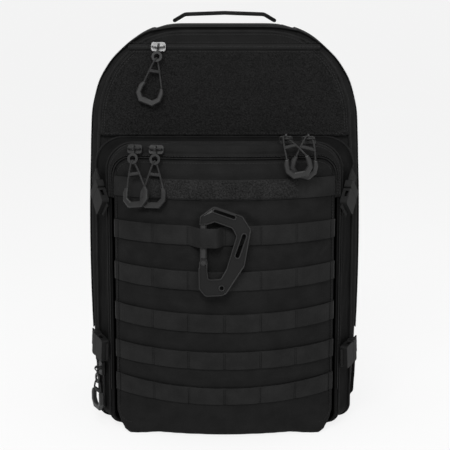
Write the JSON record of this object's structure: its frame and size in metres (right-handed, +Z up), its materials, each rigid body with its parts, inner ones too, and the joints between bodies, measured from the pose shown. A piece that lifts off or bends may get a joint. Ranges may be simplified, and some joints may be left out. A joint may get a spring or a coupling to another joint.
{
  "type": "trauma backpack",
  "caption": "Medical backpack with a hinged organiser front, load-bearing webbing, zip pulls, side-release buckles, padded harness and a clipped carabiner.",
  "frame": {"origin": "on the floor under the middle of the pack's bounding box", "axes": "+Z up, the front faces -Y, +X is to the right seen from the front"},
  "size_m": [0.3054, 0.2795, 0.4604],
  "materials": {
    "pack_cloth": "matt woven nylon",
    "loop_pile": "matt loop pile",
    "webbing": "matt ribbed webbing",
    "spacer_mesh": "matt air mesh",
    "zip_tape": "matt tape",
    "buckle_plastic": "satin moulded",
    "sheet_plastic": "smooth",
    "carabiner_plastic": "satin moulded",
    "steel": "plain",
    "black_metal": "gloss black",
    "pull_cord": "matt braid",
    "grip_rubber": "satin"
  },
  "bodies": {
    "pack": {"main_compartment": "pack_cloth", "bottom_panel": "pack_cloth", "frame_sheet": "sheet_plastic", "back_panel": "spacer_mesh", "back_pads": "spacer_mesh", "upper_front_panel": "pack_cloth", "loop_field": "loop_pile", "top_zip": "zip_tape", "gusset_zips": "zip_tape", "side_pockets": "pack_cloth", "middle_tray": "pack_cloth", "middle_zip": "zip_tape", "compression_tabs": "webbing", "compression_sockets": "buckle_plastic", "compression_straps": "webbing", "shoulder_strap_left": "spacer_mesh", "shoulder_strap_right": "spacer_mesh", "ladder_locks": "buckle_plastic", "strap_webbing": "webbing", "sternum_socket": "buckle_plastic", "sternum_webbing": "webbing"},
    "front_section": {"front_pocket": "pack_cloth", "front_zip": "zip_tape", "storm_flap": "pack_cloth", "name_strip": "webbing", "molle_rows": "webbing"},
    "handle": {"grab_handle": "webbing"},
    "carabiner": {"carabiner_body": "carabiner_plastic", "carabiner_pin": "steel", "carabiner_spring": "steel"},
    "gate": {"carabiner_gate": "carabiner_plastic"},
    "sternum_plug_body": {"sternum_plug": "buckle_plastic"},
    "plug_upper_left_body": {"plug_upper_left": "buckle_plastic"},
    "plug_upper_right_body": {"plug_upper_right": "buckle_plastic"},
    "plug_lower_left_body": {"plug_lower_left": "buckle_plastic"},
    "plug_lower_right_body": {"plug_lower_right": "buckle_plastic"},
    "slider_top_body": {"slider_top": "black_metal"},
    "pull_top": {"tab_top": "black_metal", "cord_top": "pull_cord", "grip_top": "grip_rubber"},
    "slider_outer_left_body": {"slider_outer_left": "black_metal"},
    "pull_outer_left": {"tab_outer_left": "black_metal", "cord_outer_left": "pull_cord", "grip_outer_left": "grip_rubber"},
    "slider_inner_left_body": {"slider_inner_left": "black_metal"},
    "pull_inner_left": {"tab_inner_left": "black_metal", "cord_inner_left": "pull_cord", "grip_inner_left": "grip_rubber"},
    "slider_inner_right_body": {"slider_inner_right": "black_metal"},
    "pull_inner_right": {"tab_inner_right": "black_metal", "cord_inner_right": "pull_cord", "grip_inner_right": "grip_rubber"},
    "slider_outer_right_body": {"slider_outer_right": "black_metal"},
    "pull_outer_right": {"tab_outer_right": "black_metal", "cord_outer_right": "pull_cord", "grip_outer_right": "grip_rubber"},
    "slider_side_body": {"slider_side": "black_metal"},
    "pull_side": {"tab_side": "black_metal", "cord_side": "pull_cord", "grip_side": "grip_rubber"}
  },
  "joints": [
    {"name": "front_section_open", "type": "hinge", "parent": "pack", "child": "front_section", "pos_m": [0, -0.0663, 0.001], "axis": [1, 0, 0], "range_deg": [0, 90]},
    {"name": "handle_rock", "type": "hinge", "parent": "pack", "child": "handle", "pos_m": [0, 0.04, 0.4496], "axis": [1, 0, 0], "range_deg": [-50, 50], "stiffness_Nm_per_rad": 0.03},
    {"name": "plug_upper_left_slide", "type": "slide", "parent": "pack", "child": "plug_upper_left_body", "axis": [-0.2906, 0.617, 0.7314], "range_m": [0, 0.016]},
    {"name": "plug_upper_right_slide", "type": "slide", "parent": "pack", "child": "plug_upper_right_body", "axis": [0.2739, 0.5815, 0.766], "range_m": [0, 0.016]},
    {"name": "plug_lower_left_slide", "type": "slide", "parent": "pack", "child": "plug_lower_left_body", "axis": [-0.422, 0.8959, 0.1392], "range_m": [0, 0.016]},
    {"name": "plug_lower_right_slide", "type": "slide", "parent": "pack", "child": "plug_lower_right_body", "axis": [0.4238, 0.8997, 0.1045], "range_m": [0, 0.016]},
    {"name": "sternum_plug_slide", "type": "slide", "parent": "pack", "child": "sternum_plug_body", "axis": [1, 0, 0], "range_m": [0, 0.016]},
    {"name": "slider_top_slide", "type": "slide", "parent": "pack", "child": "slider_top_body", "axis": [1, 0, 0], "range_m": [-0.02, 0.165]},
    {"name": "pull_top_lift", "type": "hinge", "parent": "slider_top_body", "child": "pull_top", "pos_m": [-0.073, -0.01998, 0.4228], "axis": [-1, 0, 0], "range_deg": [0, 120]},
    {"name": "slider_outer_left_slide", "type": "slide", "parent": "front_section", "child": "slider_outer_left_body", "axis": [0.9646, -0.2638, 0], "range_m": [-0.012, 0]},
    {"name": "pull_outer_left_lift", "type": "hinge", "parent": "slider_outer_left_body", "child": "pull_outer_left", "pos_m": [-0.09676, -0.08823, 0.3182], "axis": [-0.9646, 0.2638, 0], "range_deg": [0, 110]},
    {"name": "slider_inner_left_slide", "type": "slide", "parent": "front_section", "child": "slider_inner_left_body", "axis": [0.9798, -0.2, 0], "range_m": [0, 0.006]},
    {"name": "pull_inner_left_swing", "type": "hinge", "parent": "slider_inner_left_body", "child": "pull_inner_left", "pos_m": [-0.07333, -0.09315, 0.3182], "axis": [-0.1963, -0.9618, 0.1908], "range_deg": [-5, 1]},
    {"name": "slider_inner_right_slide", "type": "slide", "parent": "front_section", "child": "slider_inner_right_body", "axis": [1, 0, 0], "range_m": [-0.025, 0]},
    {"name": "pull_inner_right_lift", "type": "hinge", "parent": "slider_inner_right_body", "child": "pull_inner_right", "pos_m": [0.066, -0.0728, 0.3285], "axis": [-1, 0, 0], "range_deg": [0, 120]},
    {"name": "slider_outer_right_slide", "type": "slide", "parent": "front_section", "child": "slider_outer_right_body", "axis": [1, 0, 0], "range_m": [0, 0.012]},
    {"name": "pull_outer_right_swing", "type": "hinge", "parent": "slider_outer_right_body", "child": "pull_outer_right", "pos_m": [0.09, -0.0728, 0.3285], "axis": [0, 0, 1], "range_deg": [0, 9]},
    {"name": "slider_side_slide", "type": "slide", "parent": "pack", "child": "slider_side_body", "axis": [0, 0, 1], "range_m": [-0.012, 0.003]},
    {"name": "pull_side_lift", "type": "hinge", "parent": "slider_side_body", "child": "pull_side", "pos_m": [-0.14423, -0.04317, 0.062], "axis": [-0.4261, 0.9047, 0], "range_deg": [0, 100]},
    {"name": "carabiner_swing", "type": "hinge", "parent": "front_section", "child": "carabiner", "pos_m": [-0.022, -0.12829, 0.229], "axis": [0, -0.9863, 0.165], "range_deg": [-5, 11]},
    {"name": "gate_open", "type": "hinge", "parent": "carabiner", "child": "gate", "pos_m": [-0.022, -0.13271, 0.20257], "axis": [0, 0.9863, -0.165], "range_deg": [0, 18], "stiffness_Nm_per_rad": 0.06, "springref_deg": -17.19}
  ]
}
